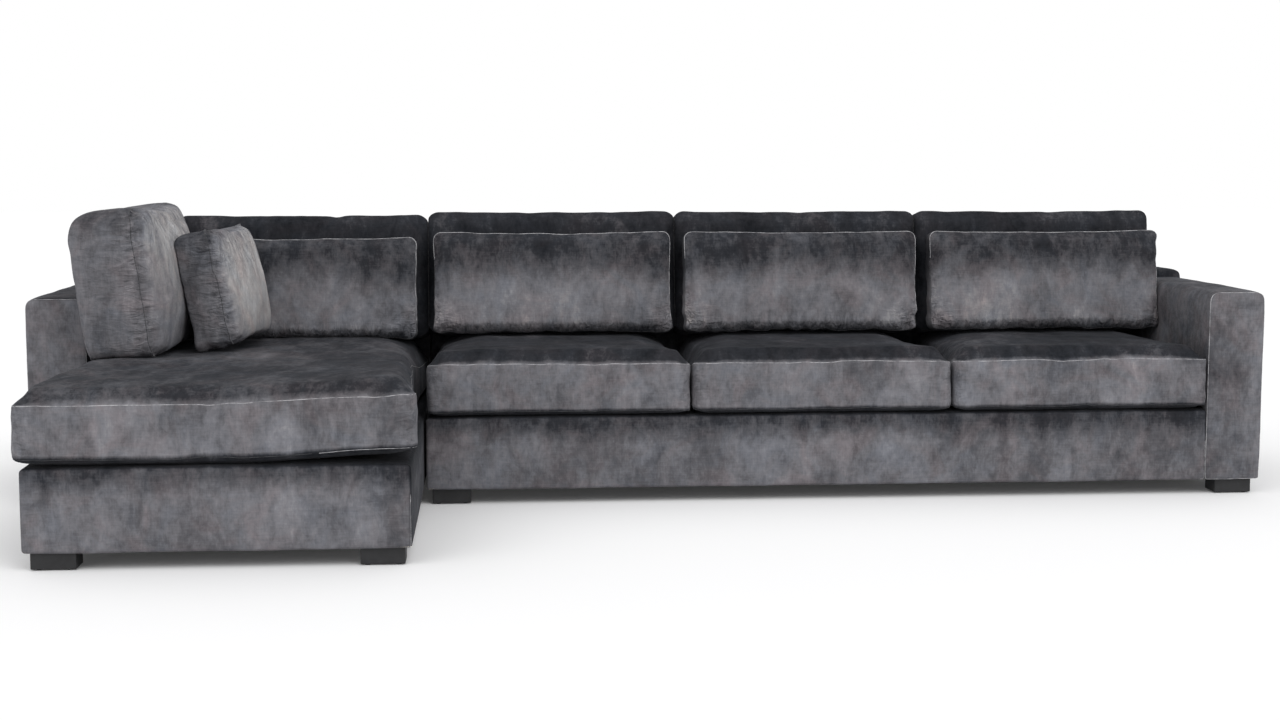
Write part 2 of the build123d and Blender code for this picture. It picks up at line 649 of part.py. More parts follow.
def cushions(fixed):
    """Every loose cushion; fixed holds the covers that they lean on."""
    seats = seat_cushions()
    seat_shapes = [place * pad.solid() for pad, place in seats]
    nodes = {}
    for i, (pad, place) in enumerate(seats):
        nodes.update(cushion(f"seat_{i}" if i else "chaise_seat", pad, place))

    crown_top = DECK_HEIGHT + SEAT_EDGE + SEAT_CROWN
    back_width = SEAT_WIDTH - 2 * BACK_PAD_GAP
    back_pad = Pad(back_width, BACK_PAD_HEIGHT, BACK_PAD_EDGE, BACK_PAD_CROWN, 0, BACK_PAD_CORNER)
    lumbar_pad = Pad(LUMBAR_WIDTH, LUMBAR_HEIGHT, LUMBAR_EDGE, LUMBAR_CROWN, 0, LUMBAR_CORNER)
    down = (0, -math.sin(math.radians(PAD_LEAN)), -math.cos(math.radians(PAD_LEAN)))
    centres = [X_JOINT_LEFT - SEAT_WIDTH / 2]
    centres += [X_JOINT_RIGHT + (i + 0.5) * SEAT_WIDTH for i in range(SEAT_COUNT)]
    for i, (x, seat) in enumerate(zip(centres, seat_shapes)):
        if i < 2:
            wall = fixed["sofa_back_cover" if i else "chaise_back_cover"][0]
            start = leaning(x, Y_BACK - BACK_PAD_EDGE, crown_top + BACK_PAD_HEIGHT / 2 + DROP, PAD_LEAN)
            upper = settle(back_pad.solid(), start, [((0, 1, 0), wall), (down, seat)])
            ahead = upper.position.Y - BACK_PAD_EDGE - LUMBAR_EDGE
            start = leaning(x, ahead, crown_top + LUMBAR_HEIGHT / 2 + DROP / 2, PAD_LEAN)
            lower = settle(lumbar_pad.solid(), start, [((0, 1, 0), upper * back_pad.solid()), (down, seat)])
        else:
            upper, lower = Pos(SEAT_WIDTH, 0, 0) * upper, Pos(SEAT_WIDTH, 0, 0) * lower
        nodes.update(cushion(f"back_{i + 1}", back_pad, upper))
        spread = Pos((i - SEAT_COUNT / 2) * LUMBAR_SPREAD, 0, 0)
        nodes.update(cushion(f"lumbar_{i + 1}", lumbar_pad, spread * lower))

    side_pad = Pad(
        SIDE_PAD_LENGTH,
        SIDE_PAD_HEIGHT,
        SIDE_PAD_EDGE,
        SIDE_PAD_CROWN,
        SIDE_PAD_REAR,
        SIDE_PAD_CORNER,
    )
    y = Y_BACK - SIDE_PAD_FROM_BACK - SIDE_PAD_LENGTH / 2
    z = crown_top + SIDE_PAD_HEIGHT / 2 + DROP / 2
    start = facing_right(X_ARM_LEFT + SIDE_PAD_EDGE + DROP, y, z, SIDE_PAD_LEAN, SIDE_PAD_TURN)
    rests = [((-1, 0, 0), fixed["left_arm_cover"][0]), ((0, 0, -1), seat_shapes[0])]
    place = settle(side_pad.solid(), start, rests)
    nodes.update(cushion("side_back", side_pad, place))

    small_pad = Pad(
        SIDE_LUMBAR_LENGTH,
        SIDE_LUMBAR_HEIGHT,
        SIDE_LUMBAR_EDGE,
        SIDE_LUMBAR_CROWN,
        SIDE_LUMBAR_REAR,
        SIDE_LUMBAR_CORNER,
    )
    x = place.position.X + (SIDE_PAD_EDGE + SIDE_LUMBAR_EDGE) / 2 + SIDE_PAD_CROWN + DROP
    y = Y_BACK - SIDE_LUMBAR_FROM_BACK - SIDE_LUMBAR_LENGTH / 2
    z = crown_top + SIDE_LUMBAR_HEIGHT / 2 + DROP / 2
    start = facing_right(x, y, z, SIDE_LUMBAR_LEAN, SIDE_LUMBAR_TURN)
    rests = [((-1, 0, 0), place * side_pad.solid()), ((0, 0, -1), seat_shapes[0])]
    place = settle(small_pad.solid(), start, rests)
    nodes.update(cushion("side_lumbar", small_pad, place))
    return nodes


def main():
    """Builds every node and writes it."""
    nodes = chaise_module()
    nodes.update(sofa_module())
    nodes.update(cushions(nodes))
    os.makedirs("parts", exist_ok=True)
    for name, pieces in nodes.items():
        shape = pieces[0] if len(pieces) == 1 else Compound(children=pieces)
        export_step(shape, f"parts/{name}.step")
    print(len(nodes), "nodes; overall", WIDTH, "x", DEPTH)


main()
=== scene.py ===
"""Corner sofa with a chaise: filled cushions, soft covers, feet, finishes, light and camera on its frame."""

import json
import math
from collections import namedtuple

import bmesh
import bpy
from mathutils import Matrix, Vector, noise
from mathutils.bvhtree import BVHTree


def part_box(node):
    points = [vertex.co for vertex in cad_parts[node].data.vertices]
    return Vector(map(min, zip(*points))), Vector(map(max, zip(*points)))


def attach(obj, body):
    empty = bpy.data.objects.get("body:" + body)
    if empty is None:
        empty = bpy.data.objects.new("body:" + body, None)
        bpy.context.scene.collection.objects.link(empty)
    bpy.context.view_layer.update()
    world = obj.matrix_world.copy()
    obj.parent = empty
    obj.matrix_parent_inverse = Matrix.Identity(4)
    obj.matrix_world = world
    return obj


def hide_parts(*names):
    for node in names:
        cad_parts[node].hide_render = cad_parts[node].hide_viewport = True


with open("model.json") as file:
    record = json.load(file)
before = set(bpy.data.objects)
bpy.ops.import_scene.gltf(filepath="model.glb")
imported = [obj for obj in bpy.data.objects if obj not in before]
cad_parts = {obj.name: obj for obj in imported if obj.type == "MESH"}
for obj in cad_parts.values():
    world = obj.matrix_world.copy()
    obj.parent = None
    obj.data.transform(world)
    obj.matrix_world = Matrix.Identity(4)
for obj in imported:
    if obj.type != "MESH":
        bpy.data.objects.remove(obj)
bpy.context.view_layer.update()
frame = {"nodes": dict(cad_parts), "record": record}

NODES = frame["nodes"]
SCENE = bpy.context.scene
# The noise has its own seed, so that every run rumples the covers alike.
noise.seed_set(1)


# ---------------------------------------------------------------- finishes

class Wire:
    """A node's output that Python's operators work on."""

    def __init__(self, finish, socket):
        self.finish = finish
        self.socket = socket

    def maths(self, operation, *others):
        return self.finish.add("ShaderNodeMath", {"operation": operation}, dict(enumerate((self, *others))))

    def __add__(self, other):
        return self.maths("ADD", other)

    __radd__ = __add__

    def __mul__(self, other):
        return self.maths("MULTIPLY", other)

    __rmul__ = __mul__

    def __sub__(self, other):
        return self.maths("SUBTRACT", other)

    def __rsub__(self, other):
        return self.finish.add("ShaderNodeMath", {"operation": "SUBTRACT"}, {0: other, 1: self})

    def clamp(self):
        return self.finish.add("ShaderNodeMath", {"operation": "ADD", "use_clamp": True}, {0: self, 1: 0.0})


class Finish:
    """A material under construction."""

    def __init__(self, name):
        self.material = bpy.data.materials.new(name)
        self.material.use_nodes = True
        self.tree = self.material.node_tree
        self.tree.nodes.clear()

    def add(self, kind, settings=None, sockets=None, out=0):
        node = self.tree.nodes.new(kind)
        for key, value in (settings or {}).items():
            if key == "stops":
                ramp = node.color_ramp
                while len(ramp.elements) < len(value):
                    ramp.elements.new(1.0)
                for element, (place, colour) in zip(ramp.elements, value):
                    element.position = place
                    element.color = (*colour, 1.0)
            else:
                setattr(node, key, value)
        for key, value in (sockets or {}).items():
            if isinstance(value, Wire):
                self.tree.links.new(value.socket, node.inputs[key])
            else:
                node.inputs[key].default_value = value
        return Wire(self, node.outputs[out])

    def place(self, scale=(1, 1, 1)):
        """The point on the piece, stretched."""
        where = self.add("ShaderNodeTexCoord", out="Object")
        return self.add("ShaderNodeMapping", {}, {"Vector": where, "Scale": scale})

    def painted(self, name):
        """A value that is stored at the piece's points."""
        return self.add("ShaderNodeAttribute", {"attribute_name": name}, out="Fac")

    def noise(self, where, scale, detail=2.0, roughness=0.5, distortion=0.0):
        sockets = {"Vector": where, "Scale": scale, "Detail": detail, "Roughness": roughness}
        return self.add("ShaderNodeTexNoise", {}, {**sockets, "Distortion": distortion})

    def ramp(self, value, *stops):
        return self.add("ShaderNodeValToRGB", {"stops": stops}, {"Fac": value})

    def blend(self, share, low, high, how="MIX"):
        return self.add("ShaderNodeMix", {"data_type": "RGBA", "blend_type": how},
                        {0: share, 6: rgba(low), 7: rgba(high)}, out=2)

    def bump(self, height, distance, strength=1.0, under=None):
        sockets = {"Height": height, "Distance": distance, "Strength": strength}
        if under is not None:
            sockets["Normal"] = under
        return self.add("ShaderNodeBump", {}, sockets)

    def done(self, **sockets):
        names = {key.replace("_", " "): value for key, value in sockets.items()}
        if not isinstance(names["Base Color"], Wire):
            names["Base Color"] = rgba(names["Base Color"])
        shader = self.add("ShaderNodeBsdfPrincipled", {}, names)
        self.add_output(shader)
        return self.material

    def add_output(self, shader):
        end = self.tree.nodes.new("ShaderNodeOutputMaterial")
        self.tree.links.new(shader.socket, end.inputs["Surface"])


def rgba(colour):
    return colour if isinstance(colour, Wire) or len(colour) == 4 else (*colour, 1.0)


PILE_GREYS = (
    (0.0, (0.011, 0.012, 0.0145)), (0.2, (0.029, 0.030, 0.035)), (0.4, (0.098, 0.0965, 0.105)),
    (0.6, (0.19, 0.187, 0.202)), (0.8, (0.335, 0.323, 0.326)), (1.0, (0.50, 0.486, 0.486)),
)
PILE_TINTS = ((0.32, (0.95, 0.99, 1.025)), (0.5, (1.0, 1.0, 1.0)), (0.66, (1.06, 0.99, 0.975)))


def velvet(name, painted_lift=0.0, streak=0.6, depth=0.45):
    """Crushed velvet: clouds of brushed pile from charcoal to mid grey over fine grain, thread and gathers,
    on a level of painted light and shade.

    The painted lift lightens it all over as painted light; the smaller streak and depth are, the longer the
    clouds run up and to the rear.
    """
    f = Finish(name)
    flat = f.place()
    # painted light and shade stored at each point sets the grey's starting level
    nap = f.painted("nap")
    across = f.painted("gather_across") * (f.noise(f.place((0.3, 1.0, 1.0)), 52.0, 3.0, 0.6, 1.2) - 0.5)
    upright = f.painted("gather_up") * (f.noise(f.place((1.0, 1.0, 0.2)), 62.0, 3.0, 0.6, 0.8) - 0.5)
    gathers = across + upright
    drifts = f.noise(f.place((1.0, depth, streak)), 4.5, 2.0, 0.5, 0.3)
    clouds = f.noise(f.place((1.0, depth, streak)), 15.0, 4.0, 0.6, 0.5)
    flecks = f.noise(f.place((1.0, 1.0, 0.7)), 52.0, 4.0, 0.68, 0.3)
    warp = f.noise(f.place((1.0, 1.0, 0.12)), 240.0, 2.0, 0.6)
    weft = f.noise(f.place((0.12, 0.3, 1.0)), 240.0, 2.0, 0.6)
    level = nap + (drifts - 0.5) * 0.5 + (clouds - 0.5) * 0.58 + (flecks - 0.5) * 0.42
    # the gathers term is painted shade and highlight along the folds; the bump below gives their relief
    level = level + (warp + weft - 1.0) * 0.14 + gathers * 0.9 + painted_lift
    grey = f.ramp((level * 0.8).clamp(), *PILE_GREYS)
    tint = f.ramp(f.noise(flat, 8.0, 3.0, 0.6, 1.0), *PILE_TINTS)
    colour = f.blend(1.0, grey, tint, "MULTIPLY")
    pile = f.noise(flat, 650.0, 2.0, 0.6)
    crush = f.noise(flat, 34.0, 4.0, 0.6, 0.8)
    normal = f.bump(pile, 0.0006, 0.35, under=f.bump(crush, 0.004, 0.45, under=f.bump(gathers, 0.016, 0.9)))
    rough = 0.94 - (clouds - 0.5) * 0.3
    return f.done(Base_Color=colour, Roughness=rough, Normal=normal, Sheen_Weight=0.06, Sheen_Roughness=0.35,
                  Sheen_Tint=(0.7, 0.72, 0.78, 1.0), Specular_IOR_Level=0.08)


def seam_pile(name, shut, bright_spots):
    """The line of a seam, in spots between two colours: shut it is a dark crease, and the light version is a
    painted highlight along the seam.
    """
    f = Finish(name)
    spots = f.noise(f.place(), 38.0, 4.0, 0.7)
    colour = f.ramp(spots, (0.38, shut), (0.62, bright_spots))
    normal = f.bump(f.noise(f.place(), 500.0), 0.0005, 0.5)
    return f.done(Base_Color=colour, Roughness=0.85, Normal=normal, Sheen_Weight=0.3, Sheen_Roughness=0.4)


def lining():
    """Plain woven cloth for the decks and under the modules."""
    f = Finish("lining_cloth")
    threads = {"Vector": f.place(), "Scale": 160.0, "Distortion": 0.6}
    warp, weft = (f.add("ShaderNodeTexWave", {"bands_direction": way}, threads) for way in "XY")
    weave = warp * weft
    worn = f.noise(f.place(), 6.0, 3.0)
    colour = f.blend(weave * 0.5 + worn * 0.4, (0.018, 0.018, 0.02), (0.05, 0.05, 0.053))
    return f.done(Base_Color=colour, Roughness=0.95, Normal=f.bump(weave, 0.0006, 0.6))


def foot_black():
    """Moulded black block with a fine eroded texture."""
    f = Finish("foot_black")
    erosion = f.noise(f.place(), 420.0, 3.0, 0.6)
    scuffs = f.noise(f.place(), 22.0, 5.0, 0.65, 0.6)
    colour = f.ramp(scuffs, (0.4, (0.008, 0.008, 0.009)), (0.75, (0.022, 0.022, 0.024)))
    rough = 0.42 + scuffs * 0.3
    return f.done(Base_Color=colour, Roughness=rough, Normal=f.bump(erosion, 0.0004, 0.5))


def timber():
    """Sawn pale softwood."""
    f = Finish("sawn_timber")
    rings = f.add("ShaderNodeTexWave", {"bands_direction": "Z"},
                  {"Vector": f.place((0.4, 0.4, 1.0)), "Scale": 38.0, "Distortion": 5.0, "Detail": 3.0})
    saw = f.noise(f.place((6.0, 6.0, 60.0)), 9.0, 2.0)
    colour = f.ramp(rings, (0.0, (0.5, 0.34, 0.19)), (0.7, (0.68, 0.5, 0.31)), (1.0, (0.38, 0.24, 0.12)))
    return f.done(Base_Color=colour, Roughness=0.7 + saw * 0.2, Normal=f.bump(saw, 0.0005, 0.5))


def steel(name, colour, rough, metallic=1.0):
    """Drawn or pressed steel with drawing marks and stains."""
    f = Finish(name)
    stains = f.noise(f.place(), 60.0, 4.0, 0.6)
    marks = f.noise(f.place((1.0, 1.0, 14.0)), 180.0, 2.0)
    tone = f.blend(stains * 0.8, colour, tuple(c * 0.55 for c in colour))
    normal = f.bump(marks, 0.0002, 0.4)
    return f.done(Base_Color=tone, Roughness=rough + marks * 0.2, Metallic=metallic, Normal=normal)


def foam():
    """Cut open-cell foam."""
    f = Finish("foam_cut")
    cells = f.add("ShaderNodeTexVoronoi", {}, {"Vector": f.place(), "Scale": 420.0}, out="Distance")
    colour = f.ramp(cells, (0.0, (0.55, 0.5, 0.38)), (0.5, (0.8, 0.76, 0.64)))
    return f.done(Base_Color=colour, Roughness=0.95, Normal=f.bump(cells, 0.0012, 0.6))


def clip_plastic():
    """Moulded pale nylon."""
    f = Finish("clip_nylon")
    flow = f.noise(f.place(), 90.0, 3.0)
    colour = f.blend(flow, (0.62, 0.6, 0.54), (0.78, 0.77, 0.72))
    return f.done(Base_Color=colour, Roughness=0.45 + flow * 0.15, Normal=f.bump(flow, 0.0002, 0.4))


VELVET = velvet("velvet_brushed")
# The side cushions' velvet: its clouds run longer up and down, and a painted lift makes it a little lighter
# as painted light.
VELVET_SIDE_LIT = velvet("velvet_side", painted_lift=0.04, streak=0.25, depth=1.0)
# A painted highlight along the seams; the dark seam line is a plain dark joint.
SEAM_HIGHLIGHT = seam_pile("seam_light", (0.15, 0.15, 0.16), (0.47, 0.465, 0.48))
SEAM_DARK = seam_pile("seam_dark", (0.014, 0.015, 0.017), (0.05, 0.05, 0.055))
LINING = lining()
FOOT = foot_black()
FINISH_OF_SLOT = {
    "velvet": VELVET,
    "lining": LINING,
    "foam": foam(),
    "timber": timber(),
    "spring_steel": steel("oiled_wire", (0.3, 0.3, 0.31), 0.3),
    "clip_plastic": clip_plastic(),
    "zinc_steel": steel("zinc_plated", (0.62, 0.63, 0.6), 0.32),
    "hook_steel": steel("black_pressed", (0.035, 0.035, 0.037), 0.4, 0.6),
    "foot_black": FOOT,
}
for part in frame["record"]["subparts"]:
    solid = NODES[part["node"]]
    solid.data.materials.clear()
    solid.data.materials.append(FINISH_OF_SLOT[part["material_slot"]])


# ---------------------------------------------------------------- shapes

TOUCH = 1e-6


def smooth(low, high, value):
    """0 below low, 1 above high and an even curve between; low may be the greater, for a fall."""
    t = min(1.0, max(0.0, (value - low) / (high - low)))
    return t * t * (3 - 2 * t)


def near(distance, reach):
    """1 at an edge, and an even fall to 0 at the reach from it."""
    return smooth(reach, 0.0, distance)


def boxed_form(size, step, corner, low_corner, edge=0.0, ring=0.0):
    """A closed box of quads whose two panels' rims are seams.

    Its outline's corners are rounded first, then all its edges, beside which rings of points may lie close.
    """
    bm = bmesh.new()
    bmesh.ops.create_cube(bm, size=1.0)
    bmesh.ops.scale(bm, vec=size, verts=bm.verts)
    cells = [max(2, round(s / step)) for s in size]
    for axis in range(3):
        along = [e for e in bm.edges if abs((e.verts[0].co - e.verts[1].co)[axis]) > TOUCH]
        bmesh.ops.subdivide_edges(bm, edges=along, cuts=cells[axis] - 1, use_grid_fill=False)
    half = [s / 2 for s in size]
    if ring:
        places = (ring, corner / 2, corner)
        for i, h in enumerate(half):
            cell = 2 * h / cells[i]
            for v in bm.verts:
                count = round((h - abs(v.co[i])) / cell)
                if 0 < count <= len(places):
                    v.co[i] = math.copysign(h - places[count - 1], v.co[i])
    for e in bm.edges:
        on_panel = all(abs(abs(v.co.z) - half[2]) < TOUCH for v in e.verts)
        on_side = any(all(abs(abs(v.co[i]) - half[i]) < TOUCH for v in e.verts) for i in (0, 1))
        e.seam = on_panel and on_side
    for v in bm.verts:
        radius = corner if v.co.y > 0 else low_corner
        u = (abs(v.co.x) - (half[0] - radius)) / radius
        w = (abs(v.co.y) - (half[1] - radius)) / radius
        if u > 0 and w > 0:
            v.co.x = math.copysign(half[0] - radius + radius * u * math.sqrt(1 - w * w / 2), v.co.x)
            v.co.y = math.copysign(half[1] - radius + radius * w * math.sqrt(1 - u * u / 2), v.co.y)
    if edge:
        for v in bm.verts:
            core = Vector([max(-h + edge, min(h - edge, c)) for c, h in zip(v.co, half)])
            v.co = core + (v.co - core).normalized() * min(edge, (v.co - core).length)
    return bm


def to_object(bm, name):
    bmesh.ops.recalc_face_normals(bm, faces=bm.faces)
    for face in bm.faces:
        face.smooth = True
    mesh = bpy.data.meshes.new(name)
    bm.to_mesh(mesh)
    bm.free()
    piece = bpy.data.objects.new(name, mesh)
    SCENE.collection.objects.link(piece)
    return piece


def local_box(node, turn):
    """Lowest and highest corners of a CAD node seen in a turned frame."""
    back = turn.inverted()
    points = [back @ v.co for v in NODES[node].data.vertices]
    return [Vector((pick(p[i] for p in points) for i in range(3))) for pick in (min, max)]


def paint(piece, rule, name="nap"):
    """Stores a value at each point; the default layer is painted light and shade for the velvet."""
    layer = piece.data.attributes.new(name, "FLOAT", "POINT")
    layer.data.foreach_set("value", [rule(v) for v in piece.data.vertices])


def finish_piece(piece, body, *nodes, material=None, slot="velvet"):
    piece.data.materials.append(material or VELVET)
    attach(piece, body)
    if nodes:
        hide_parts(*nodes)


def subdivide(piece):
    mod = piece.modifiers.new("Fine", "SUBSURF")
    mod.levels = 1
    mod.render_levels = 1


def surface(piece):
    """The finished surface as a search tree."""
    bpy.context.view_layer.update()
    return BVHTree.FromObject(piece, bpy.context.evaluated_depsgraph_get())


def seam_loops(mesh):
    """The closed loops of the edges that are marked as seams, as lists of points."""
    ways = {}
    for e in mesh.edges:
        if e.use_seam:
            a, b = e.vertices
            ways.setdefault(a, []).append(b)
            ways.setdefault(b, []).append(a)
    loops = []
    left = set(ways)
    while left:
        here = min(left)
        loop = []
        while here is not None:
            loop.append(mesh.vertices[here].co.copy())
            left.discard(here)
            here = next((n for n in ways[here] if n in left), None)
        loops.append(loop)
    return loops


def runs_of(loop, wanted):
    """The stretches of a closed loop whose points are wanted, each as an open list of points."""
    keep = [wanted(p) for p in loop]
    if all(keep):
        return [loop + loop[:1]]
    first = keep.index(False)
    runs, run = [], []
    for i in range(first, first + len(loop) + 1):
        if keep[i % len(loop)]:
            run.append(loop[i % len(loop)])
        elif run:
            runs.append(run)
            run = []
    return [run for run in runs if len(run) > 2]


SUNK = 0.4


def welt(piece, body, shade, radius):
    """Seam lines round the panels of a cover, sunk by a share of their radius.

    Shade says light, dark or nothing for each point.
    """
    skin = surface(piece)
    loops = seam_loops(piece.data)
    # Light runs take the painted highlight, dark ones the dark seam line.
    for word, material in (("light", SEAM_HIGHLIGHT), ("dark", SEAM_DARK)):
        curve = bpy.data.curves.new(piece.name + "_line", "CURVE")
        curve.dimensions = "3D"
        curve.bevel_depth = radius
        curve.bevel_resolution = 1
        curve.use_fill_caps = True
        for loop in loops:
            for run in runs_of(loop, lambda p: shade(p) == word):
                spline = curve.splines.new("POLY")
                spline.points.add(len(run) - 1)
                for point, place in zip(spline.points, run):
                    on_skin, normal, _, _ = skin.find_nearest(place)
                    point.co = (*(on_skin - normal * radius * SUNK), 1.0)
        holder = bpy.data.objects.new(piece.name + "_line", curve)
        SCENE.collection.objects.link(holder)
        bpy.context.view_layer.update()
        if curve.splines:
            graph = bpy.context.evaluated_depsgraph_get()
            mesh = bpy.data.meshes.new_from_object(holder.evaluated_get(graph))
            mesh.materials.clear()
            for polygon in mesh.polygons:
                polygon.use_smooth = True
            seam = bpy.data.objects.new(f"{piece.name}_seam_{word}", mesh)
            SCENE.collection.objects.link(seam)
            finish_piece(seam, body, material=material)
        bpy.data.objects.remove(holder)
        bpy.data.curves.remove(curve)


# ---------------------------------------------------------------- cushions

def leaning(lean):
    """The frame of a cushion that faces the front and leans back by some degrees."""
    return Matrix.Rotation(math.radians(90 - lean), 3, "X")


def sideways(turn, lean):
    """The frame of a leaning cushion that faces the right, less a turn to the front."""
    return Matrix.Rotation(math.radians(90 - turn), 3, "Z") @ leaning(lean)


# How a kind of cushion is cut and filled, in its own frame: X its width, Y its height, Z out of its face.
# turn: from its own frame to the sofa's. edge: thickness at the rim. front, rear: how far the panels swell.
# corner: radius of the panels' corners. step: width of a quad. cap: the most that the filling moves a point.
# loose: how much wider the panels are cut. give: share of the outline's inward move that is kept.
# arch: above 1 the crown is peaked, below 1 it is full. fill: how tight the padding is.
Make = namedtuple("Make", "turn edge front rear corner step cap loose give arch fill")
FLAT = {"turn": Matrix.Identity(3), "edge": 0.165, "front": 0.040, "rear": 0.0, "corner": 0.030,
        "cap": 0.030, "give": 0.12, "fill": 0.85}
UPRIGHT = {"turn": leaning(8), "rear": 0.0, "arch": 1.0}
STUFFED = {"cap": 0.090, "loose": 0.035, "give": 0.3, "arch": 0.55, "fill": 0.7}
MAKES = {
    "chaise_seat": Make(step=0.0165, loose=0.010, arch=1.3, **FLAT),
    "seat": Make(step=0.0125, loose=0.012, arch=1.4, **FLAT),
    "back": Make(edge=0.175, front=0.024, corner=0.028, step=0.0125, cap=0.024, loose=0.012, give=0.06,
                 fill=0.7, **UPRIGHT),
    "lumbar": Make(edge=0.070, front=0.020, corner=0.026, step=0.0095, cap=0.026, loose=0.020, give=0.08,
                   fill=0.65, **UPRIGHT),
    "side_back": Make(turn=sideways(2, 7), edge=0.185, front=0.080, rear=0.026, corner=0.055, step=0.0110,
                      **STUFFED),
    "side_lumbar": Make(turn=sideways(8, 12), edge=0.110, front=0.056, rear=0.010, corner=0.032, step=0.0085,
                        **STUFFED),
}
SEATS = ("chaise_seat", "seat_1", "seat_2", "seat_3")
BACKS = ("back_1", "back_2", "back_3", "back_4")
LUMBARS = ("lumbar_1", "lumbar_2", "lumbar_3", "lumbar_4")
SIDES = ("side_back", "side_lumbar")


def kind_of(name):
    return name.rstrip("_1234") if name[-1].isdigit() else name


def seed_of(name):
    """A place in the noise that is each cushion's own."""
    return Vector((3.1 * len(name), 7.7 * sum(map(ord, name)) % 19, 1.3))


UNFILLED = (0.012, 0.012, 0.008)
RUMPLE = 0.0018


def cushion_form(name):
    """The unfilled cover of a cushion in its own frame, a little smaller than it will be."""
    make = MAKES[kind_of(name)]
    low, high = local_box(name + "_cover", make.turn)
    size = high - low
    cut = tuple(full - less for full, less in zip((size.x, size.y, make.edge), UNFILLED))
    bm = boxed_form(cut, make.step, make.corner, make.corner)
    top = max(v.co.z for v in bm.verts)
    front = {v.index for v in bm.verts if v.co.z > top - TOUCH}
    for v in bm.verts:
        v.co += noise.noise_vector(v.co * 14.0 + seed_of(name)) * RUMPLE
    piece = to_object(bm, name)
    rim = {i for e in piece.data.edges if e.use_seam for i in e.vertices}
    piece.vertex_groups.new(name="seam").add(sorted(rim), 1.0, "REPLACE")
    piece.vertex_groups.new(name="front").add(sorted(front - rim), 1.0, "REPLACE")
    return piece


FILLING_FRAMES = 20
OUTWARD = 0.8


def add_filling(piece, loose):
    """Cloth with air pressure that stands in for the filling; seams draw in and panels are cut loose."""
    mod = piece.modifiers.new("Filling", "CLOTH")
    s = mod.settings
    s.quality = 4
    s.mass = 0.2
    s.tension_stiffness = 14.0
    s.compression_stiffness = 14.0
    s.shear_stiffness = 7.0
    s.bending_stiffness = 0.3
    s.use_pressure = True
    s.uniform_pressure_force = 5.0
    s.effector_weights.gravity = 0.0
    s.vertex_group_shrink = "seam"
    s.shrink_min = -loose
    s.shrink_max = 0.012
    mod.collision_settings.use_collision = False
    mod.collision_settings.use_self_collision = False
    mod.point_cache.frame_start = 1
    mod.point_cache.frame_end = FILLING_FRAMES


def fill(pieces):
    """Fills all cushions at once; no point moves more than its cap, and outlines are held nearly straight."""
    for name, piece in pieces.items():
        add_filling(piece, MAKES[kind_of(name)].loose)
    SCENE.frame_start, SCENE.frame_end = 1, FILLING_FRAMES
    for frame_number in range(1, FILLING_FRAMES + 1):
        SCENE.frame_set(frame_number)
    graph = bpy.context.evaluated_depsgraph_get()
    for name, piece in pieces.items():
        result = piece.evaluated_get(graph).data
        make = MAKES[kind_of(name)]
        moved = []
        for v, w in zip(piece.data.vertices, result.vertices):
            step = w.co - v.co
            for i in (0, 1):
                step[i] *= OUTWARD if step[i] * v.co[i] > 0 else make.give
            moved.append(v.co + step * min(1.0, make.cap / max(step.length, 1e-9)))
        piece.modifiers.clear()
        for v, place in zip(piece.data.vertices, moved):
            v.co = place
    SCENE.frame_set(1)


STUFFING = 0.85


def shape_cushion(name, piece):
    """Fits a filled cover to the room that its solid holds, creases and shades it and puts it in place."""
    make = MAKES[kind_of(name)]
    low, high = local_box(name + "_cover", make.turn)
    size = high - low
    verts = piece.data.vertices
    half = make.edge / 2
    ends = [(min(v.co[i] for v in verts), max(v.co[i] for v in verts)) for i in range(3)]
    front = piece.vertex_groups["front"].index
    crown = [float(any(g.group == front for g in v.groups)) for v in verts]
    for v in verts:
        for i in (0, 1):
            v.co[i] = low[i] + (v.co[i] - ends[i][0]) / (ends[i][1] - ends[i][0]) * size[i]
        above, below = v.co.z - half, -half - v.co.z
        if above > 0:
            swell = (above / (ends[2][1] - half)) ** make.arch
            if name in SIDES and crown[v.index]:
                swell = max(swell, STUFFING * fullness(v.co, low, high))
            v.co.z = high.z - make.front + swell * make.front
        elif below > 0:
            v.co.z = low.z + make.rear - below / (-half - ends[2][0]) * make.rear
        else:
            v.co.z += low.z + make.rear + half
    if name in SEATS:
        ease_seat(name, piece, low, high)
    elif name in SIDES:
        round_rear(piece, low, high, *REAR_ROUNDS[name])
    elif name in BACKS:
        meet_neighbours(name, piece, low, high)
    crease(name, piece, low, high)
    shade_cushion(name, piece, low, high, crown)
    piece.data.transform(make.turn.to_4x4())


def fullness(place, low, high):
    """A tightly stuffed panel: nearly as thick at its edges as in its middle."""
    size = high - low
    x = abs(2 * (place.x - low.x) / size.x - 1)
    y = abs(2 * (place.y - low.y) / size.y - 1)
    return (max(0.0, 1 - x ** 4) * max(0.0, 1 - y ** 4)) ** 0.5


SEAT_ROLL = 0.012
CHAISE_ROLL = 0.017
ROLL_REACH = 0.07
DROP = 0.060
DROP_RUN = 0.36
DROP_REACH = 0.17
CHAISE_RISE = 0.020
CHAISE_SWELL = 0.020
CHAISE_FLARE = 0.022
CLEAR_OF_SEAT = 0.004


